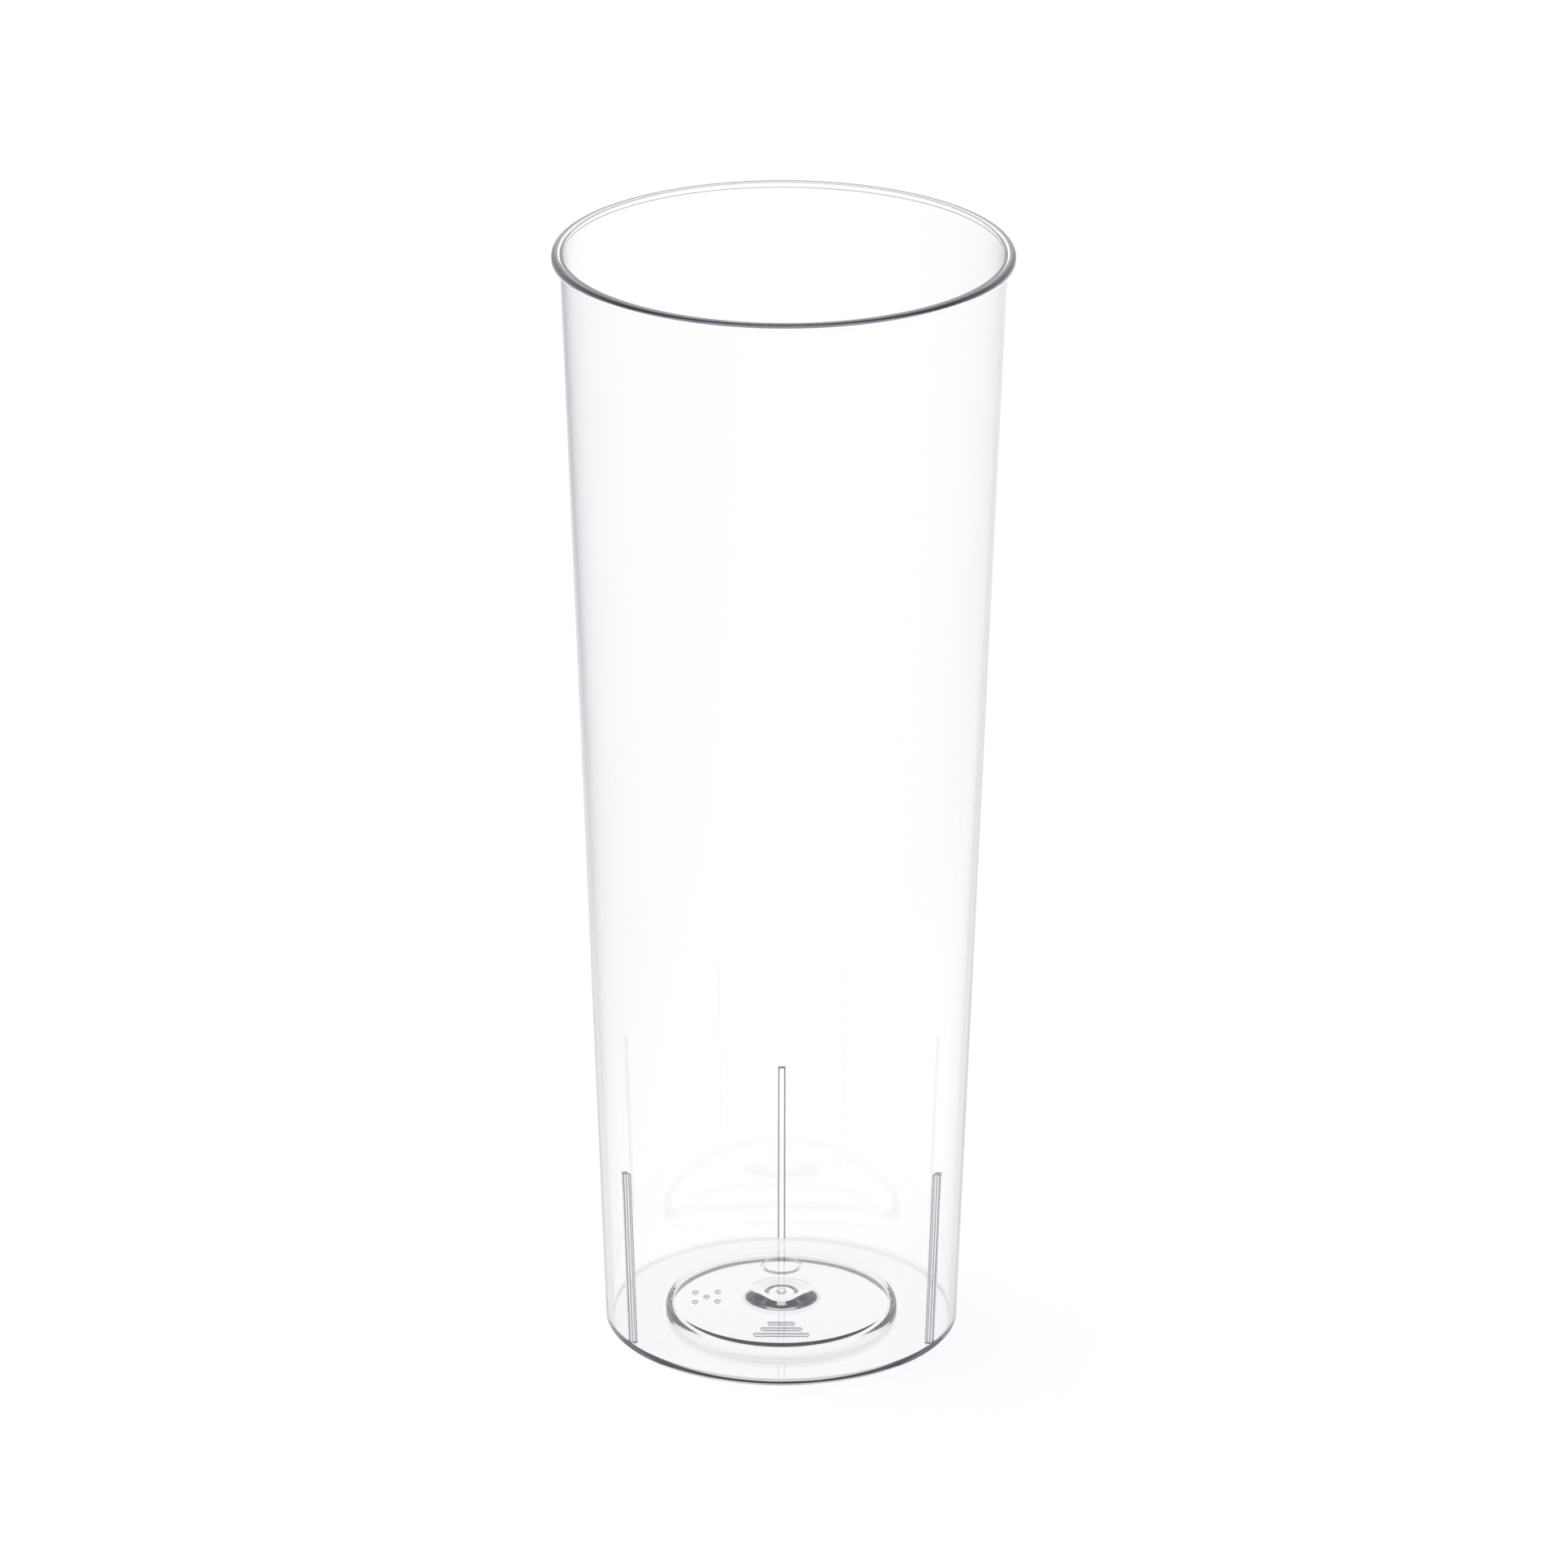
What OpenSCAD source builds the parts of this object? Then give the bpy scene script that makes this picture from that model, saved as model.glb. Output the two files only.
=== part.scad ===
// Clear stacking cup for cold long drinks, moulded in one thin-walled piece: a tapered wall with
// a beaded rim, a flat ring to stand on, a raised floor panel and three stacking ribs.
// Millimetres. +Z is up, and the origin is the middle of the foot, on the table.

/* [Cup] */
// Height from the table to the top of the rim
height = 160; // [130:0.5:190]
// Outside diameter of the wall, carried up to the top of the rim
mouth_d = 61.6; // [58:0.1:80]
// Outside diameter of the wall, carried down to the table
foot_d = 50.2; // [44:0.1:54]
// Thickness of the wall at the foot, measured level
wall = 0.9; // [0.6:0.05:1.6]
// Thickness of the wall at the mouth
wall_top = 0.4; // [0.35:0.05:1.2]
// Thickness of the floor
floor_t = 0.9; // [0.8:0.05:2]
// Rounding of the outer edge of the foot
foot_round = 0.5; // [0.2:0.05:0.75]
// Fillet inside, where the wall meets the floor
corner_fillet = 0.25; // [0.15:0.05:1.2]

/* [Rim] */
// How far the bead stands out from the wall
bead_out = 1.1; // [0.9:0.05:2]
// Height of the bead, from its flat underside to its top
bead_h = 1; // [0.95:0.05:2.6]
// Rounding of the outer edge of the bead's top
bead_round = 0.6; // [0.2:0.05:0.85]
// Rounding of the inner edge of the lip
lip_round = 0.1; // [0.05:0.05:0.3]

/* [Floor panel] */
// Diameter of the raised panel, over the foot of its step
panel_d = 33.2; // [28:0.2:40]
// Thickness of the upright wall of the step
step_w = 1; // [0.8:0.05:2]
// Height of the step
step_h = 1.6; // [1.35:0.05:2.5]
// Draft of the two sides of the step, in degrees
step_draft = 2; // [0:0.5:10]
// Rounding of the top edge of the step
step_round = 1.1; // [0.2:0.05:1.2]
// Fillet in the hollow under the panel, where its roof meets the step
hollow_fillet = 0.2; // [0.1:0.05:0.4]
// Rounding of the lower edge of the hollow
hollow_edge = 0.3; // [0.1:0.05:0.5]
// Crown of the panel, from its edge to its middle
panel_crown = 0.5; // [0.2:0.05:1.5]

/* [Gate] */
// Diameter of the gate boss
gate_d = 11.8; // [9:0.1:13]
// Diameter over the shoulder of the gate boss, where its flank ends
gate_top_d = 6.4; // [5:0.1:7.6]
// Rise of the gate boss over the panel
gate_h = 0.8; // [0.4:0.05:1.2]
// Diameter of the well under the middle of the boss
well_d = 5; // [4.2:0.1:6]
// Diameter of the well's roof
well_top_d = 3.2; // [2.6:0.1:4]
// Depth of the well
well_h = 0.6; // [0.3:0.05:0.8]
// Diameter of the gate vestige
vestige_d = 1.4; // [0.8:0.05:1.9]
// Length of the gate vestige
vestige_h = 0.5; // [0.2:0.05:1]

/* [Stacking ribs] */
// Height of the rib tops over the table, which is also the pitch of a stack
rib_top = 27.4; // [26:0.1:60]
// Width of a rib
rib_w = 1.1; // [0.8:0.05:2]
// Depth of a rib from the wall
rib_depth = 0.9; // [0.7:0.05:2]
// Chamfer on the inner end of a rib's top
rib_chamfer = 0.35; // [0.1:0.05:0.6]

/* [Mould marks] */
// Height of the marks under the panel
mark_h = 0.25; // [0.1:0.05:0.5]
// Outside diameter of the ring mark
ring_d = 6; // [2.5:0.1:6.4]
// Width of the ring's line
ring_line = 0.5; // [0.3:0.05:0.7]
// Diameter of a pip
pip_d = 1; // [0.4:0.05:1.2]
// Pitch of the pips
pip_pitch = 1.6; // [1.3:0.05:2]
// Length of the longest bar
bar_l = 8; // [4.5:0.1:9]
// Width of a bar
bar_w = 0.9; // [0.5:0.05:1.2]
// Pitch of the bars
bar_pitch = 1.7; // [1.35:0.05:2]

/* [Hidden] */

$fn = 256;
// Straight pieces in one rounded corner, and along a crown or the flank of the gate boss
corner_steps = 6;
curve_steps = 12;

// Growth of the wall's radius for each millimetre of height
taper = (mouth_d - foot_d) / 2 / height;
// Level at which the wall ends and the rim begins
lip_z = height - bead_h;
rim_r = mouth_d / 2 + bead_out;
panel_r = panel_d / 2;
// How far in the draft carries the sides of the step
step_lean = step_h * tan(step_draft);
// Edge of the panel's crowned top, and of the hollow under the panel
crown_r = panel_r - step_lean;
hollow_r = crown_r - step_w;
// Where the crowned faces end and the rounding of the step's two corners begins
crown_end = crown_r - 2 * step_round;
hollow_end = hollow_r - 2 * hollow_fillet;
gate_r = gate_d / 2;
gate_top_r = gate_top_d / 2;
well_r = well_d / 2;
well_top_r = well_top_d / 2;
// Ball that the crown is cut from
crown_ball = (crown_r * crown_r + panel_crown * panel_crown) / (2 * panel_crown);
// The three ribs stand at even angles, the first at the back
rib_turn = 120;
rib_angle = [90, 90 + rib_turn, 90 + 2 * rib_turn];
// The marks lie midway between the gate boss and the step
mark_r = (gate_r + hollow_r) / 2;
mark_angle = [90, 180, 270];
bar_step = bar_l / 4;
plastic = [0.92, 0.94, 0.97, 0.4];

// Outside and inside radius of the wall at a height
function outer(z) = foot_d / 2 + taper * z;
function inner(z) = outer(z) - wall + (wall - wall_top) * z / height;

// Height of the crowned surface over the edge of the crown
function crown(r) = sqrt(crown_ball * crown_ball - r * r) - sqrt(crown_ball * crown_ball - crown_r * crown_r);

// Flank of a round rise, from 1 at its top to 0 at its foot: half a cosine wave
function flank(r, top, foot) = (1 + cos(180 * min(max((r - top) / (foot - top), 0), 1))) / 2;

// Underside of the panel, and underside and top of the gate boss
function under(r) = step_h + crown(r);
function boss_under(r) = under(r) + well_h * flank(r, well_top_r, well_r);
function boss_top(r) = floor_t + under(r) + gate_h * flank(r, gate_top_r, gate_r);

// Even steps from one radius to another
function radii(a, b, steps = curve_steps) = [for (i = [0 : steps]) a + (b - a) * i / steps];

// Arc about a centre
function arc(centre, r, from, turn) = [
    for (i = [0 : corner_steps])
        centre + r * [cos(from + turn * i / corner_steps), sin(from + turn * i / corner_steps)]
];

// Rounded corner at b, between the lines to a and c
function corner(a, b, c, r) =
    let (u = (a - b) / norm(a - b))
    let (v = (c - b) / norm(c - b))
    let (half = acos(u * v) / 2)
    let (centre = b + (u + v) / norm(u + v) * r / sin(half))
    let (first = b + u * r / tan(half) - centre)
    let (side = u[0] * v[1] - u[1] * v[0])
    let (turn = (180 - 2 * half) * (side > 0 ? -1 : 1))
    arc(centre, r, atan2(first[1], first[0]), turn);

// Inside face of the wall from the floor up to a height, with the fillet
function inside_face(top) = concat(
    corner([0, floor_t], [inner(floor_t), floor_t], [inner(top), top], corner_fillet),
    [[inner(top), top]]
);

module side_wall() {
    color(plastic)
        rotate_extrude()
            polygon(concat(
                inside_face(lip_z),
                [[outer(lip_z), lip_z]],
                [[outer(floor_t), floor_t]]
            ));
}

module rim_bead() {
    inside = [inner(lip_z), lip_z];
    outside = [rim_r, lip_z];
    bead_top = [rim_r, height];
    lip_top = [inner(height), height];
    color(plastic)
        rotate_extrude()
            polygon(concat(
                [inside],
                [outside],
                corner(outside, bead_top, lip_top, bead_round),
                corner(bead_top, lip_top, inside, lip_round)
            ));
}

module base_ring() {
    color(plastic)
        rotate_extrude()
            polygon(concat(
                [[panel_r, floor_t]],
                [[panel_r, 0]],
                corner([panel_r, 0], [outer(0), 0], [outer(floor_t), floor_t], foot_round),
                [[outer(floor_t), floor_t]]
            ));
}

module centre_panel() {
    top_foot = [panel_r, floor_t];
    top_edge = [crown_r, floor_t + step_h];
    low_foot = [panel_r - step_w, 0];
    low_edge = [hollow_r, under(hollow_r)];
    color(plastic)
        rotate_extrude()
            polygon(concat(
                [[panel_r, 0]],
                [top_foot],
                corner(top_foot, top_edge, [crown_end, floor_t + under(crown_end)], step_round),
                [for (r = radii(crown_end, gate_r)) [r, floor_t + under(r)]],
                [for (r = radii(gate_r, hollow_end)) [r, under(r)]],
                corner([hollow_end, under(hollow_end)], low_edge, low_foot, hollow_fillet),
                corner(low_edge, low_foot, [panel_r, 0], hollow_edge)
            ));
}

module gate_boss() {
    color(plastic)
        rotate_extrude()
            polygon(concat(
                [[0, boss_under(0)]],
                [for (r = radii(well_top_r, well_r)) [r, boss_under(r)]],
                [[gate_r, boss_under(gate_r)]],
                [for (r = radii(gate_r, gate_top_r)) [r, boss_top(r)]],
                [[0, boss_top(0)]]
            ));
}

// The stub ends in a short cone, where the runner broke off
module gate_vestige() {
    root = boss_under(0);
    color(plastic)
        rotate_extrude()
            polygon([
                [0, root],
                [0, root - vestige_h],
                [vestige_d / 4, root - vestige_h],
                [vestige_d / 2, root - vestige_h / 2],
                [vestige_d / 2, boss_under(vestige_d / 2)]
            ]);
}

// A rib is an upright fin, cut to the inside face of the wall and to the floor
module stacking_rib(angle) {
    reach = inner(rib_top) + rib_depth;
    color(plastic)
        intersection() {
            rotate([0, 0, angle])
                rotate([90, 0, 0])
                    linear_extrude(rib_w, center = true)
                        polygon([
                            [inner(floor_t) - rib_depth, floor_t],
                            [reach, floor_t],
                            [reach, rib_top],
                            [inner(rib_top) - rib_depth + rib_chamfer, rib_top],
                            [inner(rib_top) - rib_depth, rib_top - rib_chamfer]
                        ]);
            rotate_extrude()
                polygon(concat(
                    inside_face(rib_top + rib_depth),
                    [[0, rib_top + rib_depth]],
                    [[0, floor_t]]
                ));
        }
}

// The marks stand in a thin layer under the crown of the panel
module mark_layer() {
    rotate_extrude()
        polygon(concat(
            [for (r = radii(gate_r, hollow_end)) [r, under(r)]],
            [for (r = radii(hollow_end, gate_r)) [r, under(r) - mark_h]]
        ));
}

module ring_mark() {
    difference() {
        circle(d = ring_d);
        circle(d = ring_d - 2 * ring_line);
    }
}

// Five pips: one in the middle and four at the corners
module pip_mark() {
    circle(d = pip_d);
    for (x = [-pip_pitch, pip_pitch])
        for (y = [-pip_pitch, pip_pitch])
            translate([x, y])
                circle(d = pip_d);
}

// Three bars, each shorter than the one before
module bar_mark() {
    for (i = [0 : 2])
        translate([0, (i - 1) * bar_pitch])
            square([bar_l - i * bar_step, bar_w], center = true);
}

module mark_at(angle) {
    translate([mark_r * cos(angle), mark_r * sin(angle), 0])
        linear_extrude(floor_t + under(0))
            children();
}

module mould_marks() {
    color(plastic)
        intersection() {
            union() {
                mark_at(mark_angle[0])
                    ring_mark();
                mark_at(mark_angle[1])
                    pip_mark();
                mark_at(mark_angle[2])
                    bar_mark();
            }
            mark_layer();
        }
}

side_wall();
rim_bead();
base_ring();
centre_panel();
gate_boss();
gate_vestige();
stacking_rib(rib_angle[0]);  // stacking_rib_back
stacking_rib(rib_angle[1]);  // stacking_rib_left
stacking_rib(rib_angle[2]);  // stacking_rib_right
mould_marks();
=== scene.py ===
"""A clear stacking cup, moulded in polystyrene, on a white studio floor."""

import bpy
import numpy as np
from mathutils import Matrix


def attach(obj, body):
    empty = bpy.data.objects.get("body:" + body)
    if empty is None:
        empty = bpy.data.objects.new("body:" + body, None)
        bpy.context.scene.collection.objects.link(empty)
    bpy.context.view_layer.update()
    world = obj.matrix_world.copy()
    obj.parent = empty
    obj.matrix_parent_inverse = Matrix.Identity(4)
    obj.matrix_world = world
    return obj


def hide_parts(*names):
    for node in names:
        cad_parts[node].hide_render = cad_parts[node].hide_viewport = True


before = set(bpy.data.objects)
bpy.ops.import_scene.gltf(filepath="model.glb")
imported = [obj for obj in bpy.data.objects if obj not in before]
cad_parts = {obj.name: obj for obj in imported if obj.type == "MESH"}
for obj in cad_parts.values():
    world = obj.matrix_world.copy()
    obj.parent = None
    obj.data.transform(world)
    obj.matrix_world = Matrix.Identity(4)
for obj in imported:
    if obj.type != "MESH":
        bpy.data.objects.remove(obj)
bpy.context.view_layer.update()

# Sizes of the cup in millimetres, the same as in the CAD source
MM = 0.001
HEIGHT, MOUTH_D, FOOT_D = 160.0, 61.6, 50.2
WALL, WALL_TOP, FLOOR_T, FOOT_ROUND, CORNER_FILLET = 0.9, 0.4, 0.9, 0.5, 0.25
BEAD_OUT, BEAD_H, BEAD_ROUND, LIP_ROUND = 1.1, 1.0, 0.6, 0.1
PANEL_D, STEP_W, STEP_H, STEP_DRAFT, STEP_ROUND, PANEL_CROWN = 33.2, 1.0, 1.6, 2.0, 1.1, 0.5
HOLLOW_FILLET, HOLLOW_EDGE = 0.2, 0.3
GATE_D, GATE_TOP_D, GATE_H = 11.8, 6.4, 0.8
WELL_D, WELL_TOP_D, WELL_H = 5.0, 3.2, 0.6
VESTIGE_D, VESTIGE_H = 1.4, 0.5
RIB_TOP, RIB_W, RIB_DEPTH, RIB_CHAMFER = 27.4, 1.1, 0.9, 0.35
RIB_ANGLES = {"back": 90, "left": 210, "right": 330}
MARK_H, RING_D, RING_LINE = 0.25, 6.0, 0.5
PIP_D, PIP_PITCH, BAR_L, BAR_W, BAR_PITCH = 1.0, 1.6, 8.0, 0.9, 1.7
BAR_COUNT, BAR_STEP = 3, BAR_L / 4

# Finer sizes, which the CAD source leaves out: the break of the bead's lower edge and the band of
# painted shade on its top, the rounding of a rib's inner edges and the band of painted shade at its
# root, and the slope of a mark's edges and its gap to the panel
EDGE_BREAK, BEAD_PAINTED_SHADE_TOP = 0.08, 0.25
RIB_ROUND, RIB_SHADED_ROOT = 0.24, 0.22
MARK_EDGE, MARK_GAP = 0.12, 0.004

# Values that follow from them
TAPER = (MOUTH_D - FOOT_D) / 2 / HEIGHT
LIP_Z = HEIGHT - BEAD_H
RIM_R = MOUTH_D / 2 + BEAD_OUT
PANEL_R = PANEL_D / 2
CROWN_R = PANEL_R - STEP_H * np.tan(np.radians(STEP_DRAFT))
HOLLOW_R = CROWN_R - STEP_W
CROWN_END, HOLLOW_END = CROWN_R - 2 * STEP_ROUND, HOLLOW_R - 2 * HOLLOW_FILLET
CROWN_BALL = (CROWN_R ** 2 + PANEL_CROWN ** 2) / (2 * PANEL_CROWN)
GATE_R, GATE_TOP_R, VESTIGE_R = GATE_D / 2, GATE_TOP_D / 2, VESTIGE_D / 2
MARK_R = (GATE_R + HOLLOW_R) / 2

# How finely the surfaces are drawn: columns round the cup, steps in a rounded edge and along a curve,
# rows of the wall above and beside the ribs, and points round a pip or bar and round the ring
COLUMNS, EDGE_STEPS, CURVE_STEPS = 360, 12, 24
WALL_ROWS, RIB_ROWS = 8, 6
PLATE_POINTS, RING_POINTS = 48, 96
# How close the first row lies to the end of a flat face, so that its shade stays flat, and the
# largest share of the face that this may take
HOLD, HOLD_SHARE = 0.04, 0.2
# How near to a rib's middle the columns beside it may come and how far they may go, in columns
NEAREST, FARTHEST = 0.4, 1.7
# Points closer than this are one point, and edges sharper than this many degrees stay sharp
SAME, SHARP_DEGREES = 1e-6, 24

# Kinds of faces, in the order of a piece's materials: free skin, clear joint and edge with painted shade
SKIN, JOINT, PAINTED_SHADE = 0, 1, 2
# The first steps of the bead's rounding are skin, and the rest takes painted shade
BEAD_SKIN_STEPS = EDGE_STEPS // 4

# Looks of the plastic: its index, the width, length and depth of its flow lines and the size of its
# hazy patches in mm, and how many reflections a ray has before it goes straight on
INDEX = 1.59
FLOW_W, FLOW_L, FLOW_DEPTH, HAZE_SIZE = 5, 90, 0.014, 8
PIPED_REFLECTIONS = 8
# The last colour is painted shade: a dark grey-violet tint for edges, standing in for the dark lines that
# refraction of a dark surround shows there
WHITE, SHADOW_TINT, PAINTED_EDGE_SHADE = "#FFFFFF", "#F2F2F6", "#524D5B"
# Looks of the studio: its dark room and the dimmer left side of its floor
ROOM_TONE, DIM_TONE, DIM_SHARE = "#3A3640", "#6E6896", 0.5
# Sockets of a node that mixes colours
MIX_FACTOR, MIX_FIRST, MIX_SECOND, MIX_RESULT = 0, 6, 7, 2

# Light goes back and forth many times inside a clear wall
BOUNCES = 48

scene = bpy.context.scene
scene.view_settings.view_transform = "Standard"
scene.cycles.max_bounces = BOUNCES
scene.cycles.glossy_bounces = BOUNCES
scene.cycles.transmission_bounces = BOUNCES
scene.cycles.transparent_max_bounces = BOUNCES


def outer(z):
    """Outside radius of the wall: a cone from the foot to the mouth."""
    return FOOT_D / 2 + TAPER * z


def inner(z):
    """Inside radius of the wall: the outside radius less the wall, which thins evenly from the foot
    to the mouth."""
    return outer(z) - WALL + (WALL - WALL_TOP) * z / HEIGHT


def under(r):
    """Underside of the panel: a cap of a large ball, on top of the step."""
    return STEP_H + np.sqrt(CROWN_BALL ** 2 - r ** 2) - np.sqrt(CROWN_BALL ** 2 - CROWN_R ** 2)


def flank(r, top, foot):
    """Flank of a round rise, from 1 at its top to 0 at its foot: half a cosine wave."""
    return (1 + np.cos(np.pi * np.clip((r - top) / (foot - top), 0, 1))) / 2


def boss_under(r):
    """Underside of the gate boss: the panel's, with a small well in the middle."""
    return under(r) + WELL_H * flank(r, WELL_TOP_D / 2, WELL_D / 2)


def boss_top(r):
    """Top of the gate boss: the panel's, raised by a round rise."""
    return FLOOR_T + under(r) + GATE_H * flank(r, GATE_TOP_R, GATE_R)


def straight(a, b, steps=2):
    """Points on the line from a to b, with one more point close to each end."""
    a, b = np.array(a, float), np.array(b, float)
    hold = min(HOLD / np.hypot(*(b - a)), HOLD_SHARE)
    between = np.linspace(0, 1, steps + 1)[1:-1]
    s = np.unique(np.concatenate([[0, hold], between, [1 - hold, 1]]))
    return a + s[:, None] * (b - a)


def arc(centre, radius, start, turn):
    """Points on an arc about a centre, from a start angle through a turn, both in degrees."""
    t = np.radians(start + turn * np.linspace(0, 1, EDGE_STEPS + 1))
    return np.array(centre) + radius * np.stack([np.cos(t), np.sin(t)], axis=1)


def corner(a, b, c, radius):
    """Points on the rounding of the corner at b: an arc that touches the lines to a and to c."""
    a, b, c = (np.array(p, float) for p in (a, b, c))
    u, v = (a - b) / np.hypot(*(a - b)), (c - b) / np.hypot(*(c - b))
    half = np.arccos(np.dot(u, v)) / 2
    centre = b + (u + v) / np.hypot(*(u + v)) * radius / np.sin(half)
    first = b + u * radius / np.tan(half) - centre
    turn = (180 - 2 * np.degrees(half)) * (-1 if u[0] * v[1] - u[1] * v[0] > 0 else 1)
    return arc(centre, radius, np.degrees(np.arctan2(first[1], first[0])), turn)


def curve(surface, a, b, lift=0.0):
    """Points on a surface of revolution from radius a to radius b, raised by a lift."""
    r = np.linspace(a, b, CURVE_STEPS + 1)
    return np.stack([r, surface(r) + lift], axis=1)


def outline(*runs):
    """Joins runs of points into one outline. A run is (points, kind of face). Gives the points and,
    for each edge that starts at a point, its kind."""
    points = np.concatenate([p for p, _ in runs])
    kinds = np.concatenate([np.full(len(p), k) for p, k in runs])
    kept = np.append(np.hypot(*np.diff(points, axis=0).T) > SAME, True)
    if np.hypot(*(points[-1] - points[0])) < SAME:
        kept[-1] = False
    return points[kept], kinds[kept]


def rib_columns():
    """The column at the middle of each rib."""
    return [round(degrees / 360 * COLUMNS) for degrees in RIB_ANGLES.values()]


def ring_angles(r):
    """Angles of the columns at each radius: even steps, but the two columns beside each rib follow
    its flanks, at the angle whose sine is half the rib's width over the radius."""
    pitch = 2 * np.pi / COLUMNS
    beside = np.zeros(COLUMNS)
    for at in rib_columns():
        beside[[at - 1, at + 1]] = -1, 1
    rib_angle = np.arcsin(np.clip(RIB_W / 2 / np.maximum(r, RIB_W), 0, 1))
    rib_angle = np.clip(rib_angle, NEAREST * pitch, FARTHEST * pitch)
    return np.arange(COLUMNS) * pitch + beside * (rib_angle - pitch)[:, None]


def grid_faces(rows, columns, closed):
    """Four-cornered faces of a grid whose columns close up, and whose rows do too where closed is
    true."""
    i, j = np.meshgrid(np.arange(rows if closed else rows - 1), np.arange(columns), indexing="ij")
    up, on = (i + 1) % rows, (j + 1) % columns
    return np.stack([i * columns + j, i * columns + on, up * columns + on, up * columns + j], axis=-1)


def piece(name, node, vertices, faces, kinds, finish):
    """A closed piece of the moulding that stands for its CAD node. Its skin takes the finish."""
    mesh = bpy.data.meshes.new(name)
    mesh.from_pydata((vertices * MM).tolist(), [], faces)
    # The third material, on edge faces, is painted shade
    for material in (finish, FUSED, EDGE):
        mesh.materials.append(material)
    mesh.polygons.foreach_set("material_index", np.asarray(kinds, np.int32))
    mesh.polygons.foreach_set("use_smooth", np.ones(len(faces), bool))
    mesh.set_sharp_from_angle(angle=np.radians(SHARP_DEGREES))
    mesh.update()
    obj = bpy.data.objects.new(name, mesh)
    scene.collection.objects.link(obj)
    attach(obj, "root")
    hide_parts(node)


def turned(name, node, profile, finish, patch=None):
    """An outline carried round the axis: the point (r, z) goes to (r cos t, r sin t, z). An outline
    that starts and ends on the axis gets a pole at each end. A patch is a range of edges that is a
    joint where a rib stands on it."""
    points, edge_kinds = profile
    poles = points[0, 0] == 0
    rings = points[1:-1] if poles else points
    t = ring_angles(rings[:, 0])
    z = np.broadcast_to(rings[:, 1:], t.shape)
    vertices = np.stack([rings[:, :1] * np.cos(t), rings[:, :1] * np.sin(t), z], axis=-1).reshape(-1, 3)
    faces = grid_faces(len(rings), COLUMNS, not poles).reshape(-1, 4).tolist()
    kinds = np.repeat((edge_kinds[1:-2] if poles else edge_kinds)[:, None], COLUMNS, axis=1)
    if patch:
        for at in rib_columns():
            kinds[patch[0]:patch[1], [at - 1, at]] = JOINT
    kinds = kinds.ravel()
    if poles:
        j, n = np.arange(COLUMNS), len(vertices)
        last = n - COLUMNS
        low = np.stack([np.full(COLUMNS, n), (j + 1) % COLUMNS, j], axis=1)
        high = np.stack([last + j, last + (j + 1) % COLUMNS, np.full(COLUMNS, n + 1)], axis=1)
        vertices = np.concatenate([vertices, [[0, 0, points[0, 1]], [0, 0, points[-1, 1]]]])
        faces += low.tolist() + high.tolist()
        kinds = np.concatenate([kinds, np.repeat([edge_kinds[0], edge_kinds[-2]], COLUMNS)])
    piece(name, node, vertices, faces, kinds, finish)


def feed(tree, socket, value):
    """Links a socket to another socket, or sets it to a constant."""
    if isinstance(value, bpy.types.NodeSocket):
        tree.links.new(value, socket)
    else:
        socket.default_value = value


def add_node(tree, kind, settings=None):
    """Adds a node. Its settings go to its properties or, by name, to its inputs."""
    new = tree.nodes.new(kind)
    for key, value in (settings or {}).items():
        if hasattr(new, key):
            setattr(new, key, value)
        else:
            feed(tree, new.inputs[key], value)
    return new


def combined(tree, operation, first, second):
    """A number made from two numbers, each a socket or a constant."""
    made = add_node(tree, "ShaderNodeMath", {"operation": operation})
    for socket, value in zip(made.inputs, (first, second)):
        feed(tree, socket, value)
    return made.outputs[0]


def mixed(tree, factor, first, second):
    """A colour between two colours, each a socket or a linear colour, by a factor."""
    mix = add_node(tree, "ShaderNodeMix", {"data_type": "RGBA"})
    for at, value in ((MIX_FACTOR, factor), (MIX_FIRST, first), (MIX_SECOND, second)):
        feed(tree, mix.inputs[at], value)
    return mix.outputs[MIX_RESULT]


def show_mix(tree, out, factor, first, second):
    """Shows a mix of two shaders by a factor on the surface."""
    mix = add_node(tree, "ShaderNodeMixShader", {"Fac": factor})
    tree.links.new(first.outputs[0], mix.inputs[1])
    tree.links.new(second.outputs[0], mix.inputs[2])
    tree.links.new(mix.outputs[0], out.inputs["Surface"])


def linear(hex_colour):
    """An sRGB hex colour as linear red, green, blue and alpha."""
    c = np.array([int(hex_colour[i:i + 2], 16) for i in (1, 3, 5)]) / 255
    return (*np.where(c <= 0.04045, c / 12.92, ((c + 0.055) / 1.055) ** 2.4), 1.0)


def new_material(name):
    """An empty material with its output node."""
    made = bpy.data.materials.new(name)
    made.use_nodes = True
    made.node_tree.nodes.clear()
    return made, made.node_tree, made.node_tree.nodes.new("ShaderNodeOutputMaterial")


def reflected_more_than(tree, count):
    """Whether a ray has been reflected more often than a count: 1 or 0."""
    path = add_node(tree, "ShaderNodeLightPath")
    return combined(tree, "GREATER_THAN", path.outputs["Glossy Depth"], count + 0.5)


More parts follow.
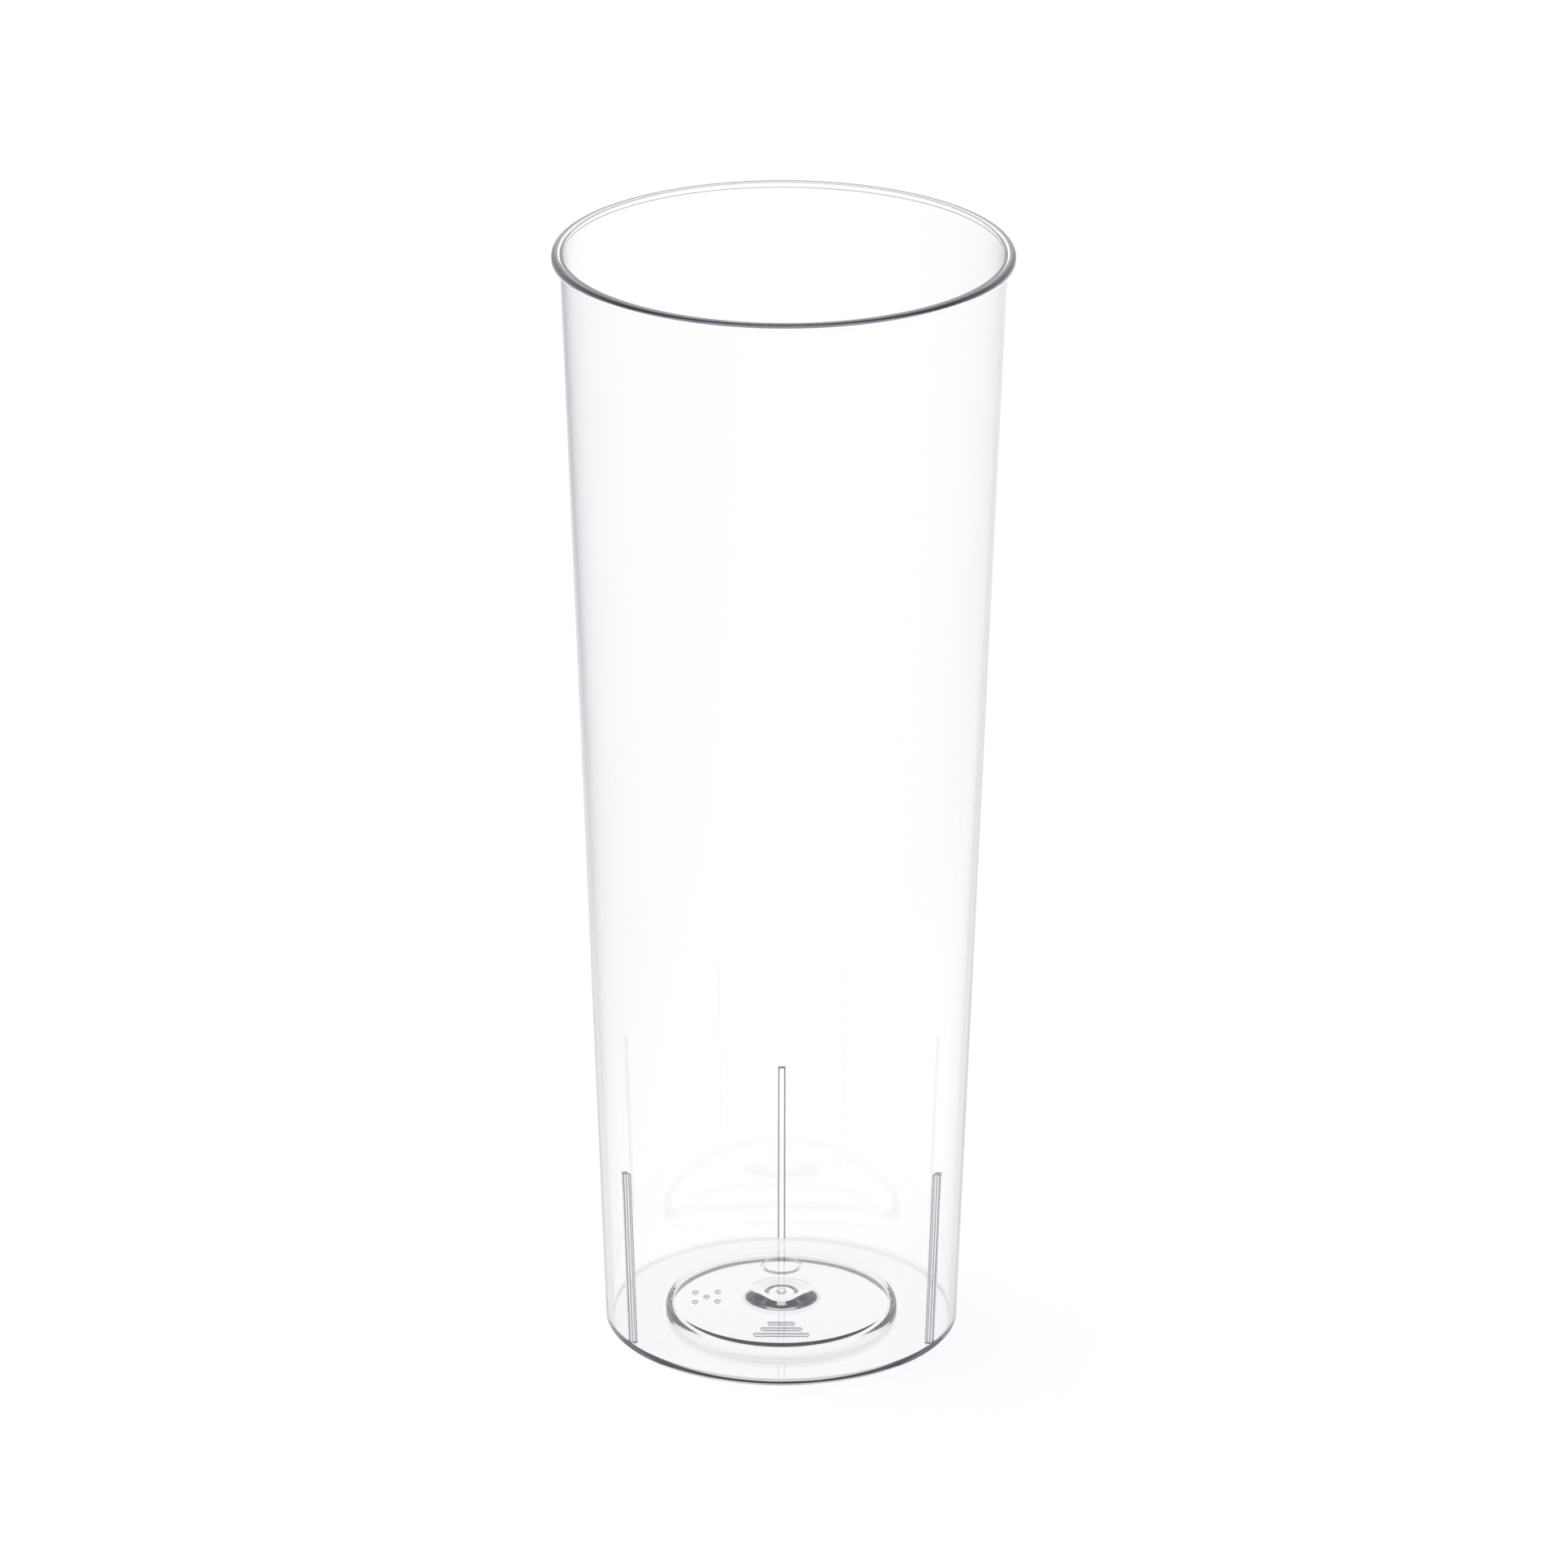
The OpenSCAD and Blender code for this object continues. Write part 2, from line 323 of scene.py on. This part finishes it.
def moulded_polystyrene(name, roughness, colour=WHITE):
    """General-purpose polystyrene: water-clear, with a high gloss from the polished mould and a high
    index, which makes its edges dark. Flow lines run up the wall, and a slight haze varies over it.
    A colour other than white is painted shade."""
    made, tree, out = new_material(name)
    place = add_node(tree, "ShaderNodeTexCoord").outputs["Object"]
    along = add_node(tree, "ShaderNodeMapping", {
        "Scale": (1 / FLOW_W, 1 / FLOW_W, 1 / FLOW_L), "Vector": place,
    })
    flow = add_node(tree, "ShaderNodeTexNoise", {
        "Scale": 1 / MM, "Detail": 0.5, "Vector": along.outputs["Vector"],
    })
    haze = add_node(tree, "ShaderNodeTexNoise", {
        "Scale": 1 / (HAZE_SIZE * MM), "Detail": 4.0, "Vector": place,
    })
    rough = add_node(tree, "ShaderNodeMapRange", {
        "To Min": roughness * 0.5, "To Max": roughness * 1.5, "Value": haze.outputs["Fac"],
    })
    bump = add_node(tree, "ShaderNodeBump", {
        "Strength": 1.0, "Distance": FLOW_DEPTH * MM, "Height": flow.outputs["Fac"],
    })
    plastic = add_node(tree, "ShaderNodeBsdfPrincipled", {
        "Base Color": linear(colour),
        "IOR": INDEX,
        "Transmission Weight": 1.0,
        "Roughness": rough.outputs["Result"],
        "Normal": bump.outputs["Normal"],
    })
    passing = add_node(tree, "ShaderNodeBsdfTransparent", {"Color": linear(SHADOW_TINT)})
    shadow = add_node(tree, "ShaderNodeLightPath").outputs["Is Shadow Ray"]
    through = combined(tree, "MAXIMUM", shadow, reflected_more_than(tree, PIPED_REFLECTIONS))
    show_mix(tree, out, through, plastic, passing)
    return made


def fused_polystyrene():
    """The inside of the plastic where two features of the moulding meet: nothing to see, so light
    goes straight on."""
    made, tree, out = new_material("polystyrene, fused")
    clear = add_node(tree, "ShaderNodeBsdfTransparent", {"Color": linear(WHITE)})
    tree.links.new(clear.outputs[0], out.inputs["Surface"])
    return made


FUSED = fused_polystyrene()
POLISHED = moulded_polystyrene("polystyrene, moulded and polished", 0.01)
BROKEN = moulded_polystyrene("polystyrene, broken gate", 0.3)
# The edge material is painted shade: the plastic tinted dark grey-violet on the bead's top, rib roots and
# rounded rib edges, and mark slopes, standing in for the dark lines that refraction of a dark surround
# shows there
EDGE = moulded_polystyrene("polystyrene, painted edge shade", 0.05, PAINTED_EDGE_SHADE)

# The wall: from the toe of the fillet out along its foot, up the outside, over the lip and down the
# inside, where the rows follow the rounded top of the ribs
wall_in, wall_out = [inner(LIP_Z), LIP_Z], [outer(LIP_Z), LIP_Z]
toe = corner([0, FLOOR_T], [inner(FLOOR_T), FLOOR_T], wall_in, CORNER_FILLET)
shoulder = np.sin(np.radians(np.linspace(90, 0, EDGE_STEPS + 1)))
shoulder_z = RIB_TOP - RIB_CHAMFER * (1 - shoulder)
inside_z = np.concatenate([
    [LIP_Z, LIP_Z - HOLD],
    np.linspace(LIP_Z, RIB_TOP, WALL_ROWS + 1)[1:],
    shoulder_z[1:],
    np.linspace(shoulder_z[-1], toe[-1, 1] + HOLD, RIB_ROWS + 1)[1:],
])
inside = np.concatenate([np.stack([inner(inside_z), inside_z], axis=1), toe[::-1]])
beside_rib = inside[inside[:, 1] < RIB_TOP + SAME]
wall_profile = outline(
    (np.array([toe[0], [outer(FLOOR_T), FLOOR_T]]), JOINT),
    (straight([outer(FLOOR_T), FLOOR_T], wall_out, WALL_ROWS), SKIN),
    (np.array([wall_out, wall_in]), JOINT),
    (inside, SKIN),
)
wall_end = len(wall_profile[0])
turned("moulded_side_wall", "side_wall", wall_profile, POLISHED, (wall_end - len(beside_rib) + 1, wall_end))

# The rim: along the joint with the wall, round the bead and over the rounded lip
bead_low, bead_top, lip_top = [RIM_R, LIP_Z], [RIM_R, HEIGHT], [inner(HEIGHT), HEIGHT]
bead_edge = corner(wall_out, bead_low, bead_top, EDGE_BREAK)
bead = corner(bead_low, bead_top, lip_top, BEAD_ROUND)
lip = corner(bead_top, lip_top, wall_in, LIP_ROUND)
turned("moulded_rim_bead", "rim_bead", outline(
    (np.array([wall_in, wall_out]), JOINT),
    (straight(wall_out, bead_edge[0]), SKIN),
    (bead_edge, SKIN),
    (bead[:BEAD_SKIN_STEPS + 1], SKIN),
    # The rest of the bead's rounding and a band across its top take painted shade
    (bead[BEAD_SKIN_STEPS:], PAINTED_SHADE),
    (np.array([[RIM_R - BEAD_ROUND - BEAD_PAINTED_SHADE_TOP, HEIGHT]]), SKIN),
    (lip, SKIN),
    (np.array([lip[-1], wall_in]), SKIN),
), POLISHED)

# The ring that the cup stands on: along the table, round the foot's edge, in under the wall and over
# the floor
foot_edge = corner([PANEL_R, 0], [outer(0), 0], [outer(FLOOR_T), FLOOR_T], FOOT_ROUND)
rib_foot = [inner(FLOOR_T) - RIB_DEPTH, FLOOR_T]
ring_profile = outline(
    (straight([PANEL_R, 0], foot_edge[0]), SKIN),
    (foot_edge, SKIN),
    (straight(foot_edge[-1], [outer(FLOOR_T), FLOOR_T]), SKIN),
    (np.array([[outer(FLOOR_T), FLOOR_T], toe[0]]), JOINT),
    (np.array([toe[0], rib_foot]), SKIN),
    (straight(rib_foot, [PANEL_R, FLOOR_T]), SKIN),
    (np.array([[PANEL_R, FLOOR_T], [PANEL_R, 0]]), JOINT),
)
at_toe = int(np.flatnonzero(np.hypot(*(ring_profile[0] - toe[0]).T) < SAME)[0])
turned("moulded_base_ring", "base_ring", ring_profile, POLISHED, (at_toe, at_toe + 1))

# The panel: up the joint with the ring, over the step and the crown, down the joint with the boss and
# back below
top_foot, top_edge = [PANEL_R, FLOOR_T], [CROWN_R, FLOOR_T + STEP_H]
low_foot, low_edge = [PANEL_R - STEP_W, 0], [HOLLOW_R, under(HOLLOW_R)]
step_top = corner(top_foot, top_edge, [CROWN_END, FLOOR_T + under(CROWN_END)], STEP_ROUND)
hollow_fillet = corner([HOLLOW_END, under(HOLLOW_END)], low_edge, low_foot, HOLLOW_FILLET)
step_low = corner(low_edge, low_foot, [PANEL_R, 0], HOLLOW_EDGE)
turned("moulded_centre_panel", "centre_panel", outline(
    (np.array([[PANEL_R, 0], top_foot]), JOINT),
    (straight(top_foot, step_top[0]), SKIN),
    (step_top, SKIN),
    (curve(under, CROWN_END, GATE_R, FLOOR_T), SKIN),
    (np.array([[GATE_R, FLOOR_T + under(GATE_R)], [GATE_R, under(GATE_R)]]), JOINT),
    (curve(under, GATE_R, HOLLOW_END), SKIN),
    (hollow_fillet, SKIN),
    (straight(hollow_fillet[-1], step_low[0]), SKIN),
    (step_low, SKIN),
    (straight(step_low[-1], [PANEL_R, 0]), SKIN),
), POLISHED)

# The gate boss: out below, past the root of the vestige, up the joint with the panel and back over
# the dome
turned("moulded_gate_boss", "gate_boss", outline(
    (np.array([[0, boss_under(0)], [VESTIGE_R, boss_under(VESTIGE_R)]]), JOINT),
    (curve(boss_under, VESTIGE_R, GATE_R), SKIN),
    (np.array([[GATE_R, boss_under(GATE_R)], [GATE_R, boss_top(GATE_R)]]), JOINT),
    (curve(boss_top, GATE_R, 0), SKIN),
), POLISHED)

# The vestige: a stub with a broken, sloping end
root = boss_under(0)
stub_end, stub_side = root - VESTIGE_H, root - VESTIGE_H / 2
turned("broken_gate_vestige", "gate_vestige", outline(
    (np.array([[0, stub_end], [VESTIGE_R / 2, stub_end], [VESTIGE_R, stub_side]]), SKIN),
    (straight([VESTIGE_R, stub_side], [VESTIGE_R, boss_under(VESTIGE_R)]), SKIN),
    (np.array([[VESTIGE_R, boss_under(VESTIGE_R)], [0, root]]), JOINT),
), BROKEN)


def stacking_rib(side):
    """A fin on the wall. At each height of the wall's inside face its level section runs in along one
    flank, round the inner edge and out along the other flank, and the inner edge draws back in a
    quarter circle at the top."""
    r, z = beside_rib[::-1].T
    w = RIB_W / 2
    rise = np.clip((z - RIB_TOP + RIB_CHAMFER) / RIB_CHAMFER, 0, 1)
    edge = (inner(z) - RIB_DEPTH + RIB_CHAMFER * (1 - np.sqrt(1 - rise ** 2)))[:, None]
    wall_x = np.sqrt(r ** 2 - w ** 2)[:, None]
    rounding = np.minimum(RIB_ROUND, (wall_x - edge) * 0.5)
    q = np.radians(np.linspace(0, 90, EDGE_STEPS + 1))
    round_x, round_y = edge + rounding * (1 - np.sin(q)), w - rounding * (1 - np.cos(q))
    root_x = wall_x - np.minimum(RIB_SHADED_ROOT, (wall_x - round_x[:, :1]) / 2)
    flat = np.full_like(wall_x, w)
    half_x = [wall_x, root_x, round_x]
    x = np.concatenate([r[:, None], *half_x, *(part[:, ::-1] for part in half_x[::-1])], axis=1)
    y = np.concatenate([0 * flat, flat, flat, round_y, -round_y[:, ::-1], -flat, -flat], axis=1)
    t = np.radians(RIB_ANGLES[side])
    turned_x, turned_y = x * np.cos(t) - y * np.sin(t), x * np.sin(t) + y * np.cos(t)
    vertices = np.stack([turned_x, turned_y, np.broadcast_to(z[:, None], x.shape)], axis=-1)

    # Round a section lie the joint, a root band with painted shade, the flank and a rounded edge with
    # painted shade, and the same on the way back. The flat between the two edges is skin
    rows, count = x.shape
    one_side = [JOINT, PAINTED_SHADE, SKIN] + [PAINTED_SHADE] * EDGE_STEPS
    kinds = np.tile(one_side + [SKIN] + one_side[::-1], (rows - 1, 1))
    faces = grid_faces(rows, count, False).reshape(-1, 4).tolist()
    bottom, top = list(range(count))[::-1], list(range((rows - 1) * count, rows * count))
    piece(
        f"moulded_stacking_rib_{side}",
        f"stacking_rib_{side}",
        vertices.reshape(-1, 3),
        faces + [bottom, top],
        np.append(kinds.ravel(), [JOINT, SKIN]),
        POLISHED,
    )


for side in RIB_ANGLES:
    stacking_rib(side)


def oval(length, width, points):
    """An outline round a straight bar with half-round ends, or round a pip where both sizes are the
    same."""
    t = np.radians(np.linspace(-90, 270, points, endpoint=False) + 180 / points)
    reach = np.where(np.cos(t) > 0, 1, -1) * (length - width) / 2
    return np.stack([reach + width / 2 * np.cos(t), width / 2 * np.sin(t)], axis=1)


def mould_marks():
    """Raised marks under the panel: a ring, five pips and three bars. Each is a band between level
    outlines, with sloping edges from a smaller lower face up to a roof. Their heights follow the
    panel's underside. Their sloping edges take painted shade."""
    vertices, faces, kinds = [], [], []

    def add(loops, drops, new_faces, new_kinds):
        """Adds outlines, each hung a drop below the panel's underside, and the faces between them."""
        base = sum(len(v) for v in vertices)
        for loop, drop in zip(loops, drops):
            vertices.append(np.column_stack([loop, under(np.hypot(*loop.T)) - drop]))
        faces.extend([base + vertex for vertex in face] for face in new_faces)
        kinds.extend(new_kinds)

    def plate(length, width, place):
        """A pip or a bar: its sloping edge, its lower face and its roof."""
        n = PLATE_POINTS
        low = oval(length - 2 * MARK_EDGE, width - 2 * MARK_EDGE, n) + place
        roof = oval(length, width, n) + place
        edge = grid_faces(2, n, False).reshape(-1, 4).tolist()
        caps = [list(range(n))[::-1], list(range(n, 2 * n))]
        # The sloping edge takes painted shade
        add([low, roof], [MARK_H, MARK_GAP], edge + caps, [PAINTED_SHADE] * n + [JOINT, JOINT])

    hole_d = RING_D - 2 * RING_LINE
    diameters = [hole_d, hole_d + 2 * MARK_EDGE, RING_D - 2 * MARK_EDGE, RING_D]
    loops = [d * oval(1.0, 1.0, RING_POINTS) + [0, MARK_R] for d in diameters]
    band = grid_faces(len(loops), RING_POINTS, True).reshape(-1, 4).tolist()
    # The ring's sloping edges take painted shade
    band_kinds = np.repeat([PAINTED_SHADE, JOINT, PAINTED_SHADE, JOINT], RING_POINTS).tolist()
    add(loops, [MARK_GAP, MARK_H, MARK_H, MARK_GAP], band, band_kinds)
    for x, y in [(0, 0), (-1, -1), (1, -1), (1, 1), (-1, 1)]:
        plate(PIP_D, PIP_D, [-MARK_R + x * PIP_PITCH, y * PIP_PITCH])
    for i in range(BAR_COUNT):
        plate(BAR_L - i * BAR_STEP, BAR_W, [0, -MARK_R + (i - 1) * BAR_PITCH])
    piece("moulded_marks", "mould_marks", np.concatenate(vertices), faces, kinds, POLISHED)


mould_marks()


def studio_tone(tree, near):
    """Colour of the studio along a ray: the near colour, but for light that has been reflected more
    than once inside the plastic it falls off to the grey-violet of the dark room round the studio."""
    path = add_node(tree, "ShaderNodeLightPath")
    fall = add_node(tree, "ShaderNodeMapRange", {
        "From Min": 1.5, "From Max": 3.0, "Value": path.outputs["Glossy Depth"],
    })
    return mixed(tree, fall.outputs["Result"], near, linear(ROOM_TONE))


def surround():
    """A white surround that darkens overhead, as in a tent with an open top. The camera itself sees
    it white."""
    scene.world = bpy.data.worlds.new("white studio")
    scene.world.use_nodes = True
    tree = scene.world.node_tree
    tree.nodes.clear()
    out = tree.nodes.new("ShaderNodeOutputWorld")
    way = add_node(tree, "ShaderNodeTexCoord").outputs["Generated"]
    dark = add_node(tree, "ShaderNodeMapRange", {
        "interpolation_type": "SMOOTHSTEP",
        "From Min": 0.45,
        "From Max": 0.75,
        "To Min": 1.0,
        "To Max": 0.06,
        "Value": add_node(tree, "ShaderNodeSeparateXYZ", {"Vector": way}).outputs["Z"],
    })
    seen = add_node(tree, "ShaderNodeLightPath").outputs["Is Camera Ray"]
    glow = add_node(tree, "ShaderNodeBackground", {
        "Color": studio_tone(tree, linear(WHITE)),
        "Strength": combined(tree, "MAXIMUM", dark.outputs["Result"], seen),
    })
    tree.links.new(glow.outputs[0], out.inputs["Surface"])


def white_floor():
    """A white floor that glows a little, so that it stays white beside the cup and still takes its
    shadow. In reflections its left side is dimmer."""
    made, tree, out = new_material("white floor")
    paint = add_node(tree, "ShaderNodeBsdfDiffuse", {"Color": (0.95, 0.95, 0.95, 1)})
    place = add_node(tree, "ShaderNodeTexCoord").outputs["Object"]
    left = add_node(tree, "ShaderNodeMapRange", {
        "From Min": -0.05,
        "From Max": -0.15,
        "To Max": DIM_SHARE,
        "Value": add_node(tree, "ShaderNodeSeparateXYZ", {"Vector": place}).outputs["X"],
    })
    dim = combined(tree, "MULTIPLY", left.outputs["Result"], reflected_more_than(tree, 0))
    near = mixed(tree, dim, linear(WHITE), linear(DIM_TONE))
    glow = add_node(tree, "ShaderNodeEmission", {"Strength": 1.0, "Color": studio_tone(tree, near)})
    show_mix(tree, out, 0.75, paint, glow)

    mesh = bpy.data.meshes.new("floor")
    reach, z = 10.0, -0.03 * MM
    corners = [(-reach, -reach, z), (reach, -reach, z), (reach, reach, z), (-reach, reach, z)]
    mesh.from_pydata(corners, [], [(0, 1, 2, 3)])
    mesh.materials.append(made)
    floor = bpy.data.objects.new("floor", mesh)
    scene.collection.objects.link(floor)


def softbox():
    """A soft light from overhead, a little to the left and to the front, which casts the shadow on the
    floor and isn't seen in the plastic."""
    lamp = bpy.data.lights.new("overhead softbox", "SUN")
    lamp.energy, lamp.angle = 2.6, np.radians(40)
    hung = bpy.data.objects.new("overhead softbox", lamp)
    hung.location = (-0.4, -0.2, 1.4)
    hung.rotation_euler = (-0.14, -0.28, 0)
    hung.visible_glossy = hung.visible_transmission = hung.visible_camera = False
    scene.collection.objects.link(hung)


def camera():
    """The photograph's view: 1.23 m in front of the cup and 0.57 m up, looking down 21.6 degrees
    through a long lens, and turned and shifted a little about its own axis."""
    lens = bpy.data.cameras.new("camera")
    lens.lens, lens.sensor_width, lens.shift_x = 216.5, 36.0, 0.00093
    stand = bpy.data.objects.new("camera", lens)
    stand.location = (0.0, -1.2289, 0.5686)
    pitch = Matrix.Rotation(np.radians(90 - 21.627), 3, "X")
    roll = Matrix.Rotation(np.radians(0.13), 3, "Z")
    stand.rotation_euler = (pitch @ roll).to_euler()
    scene.collection.objects.link(stand)
    scene.camera = stand


surround()
white_floor()
softbox()
camera()
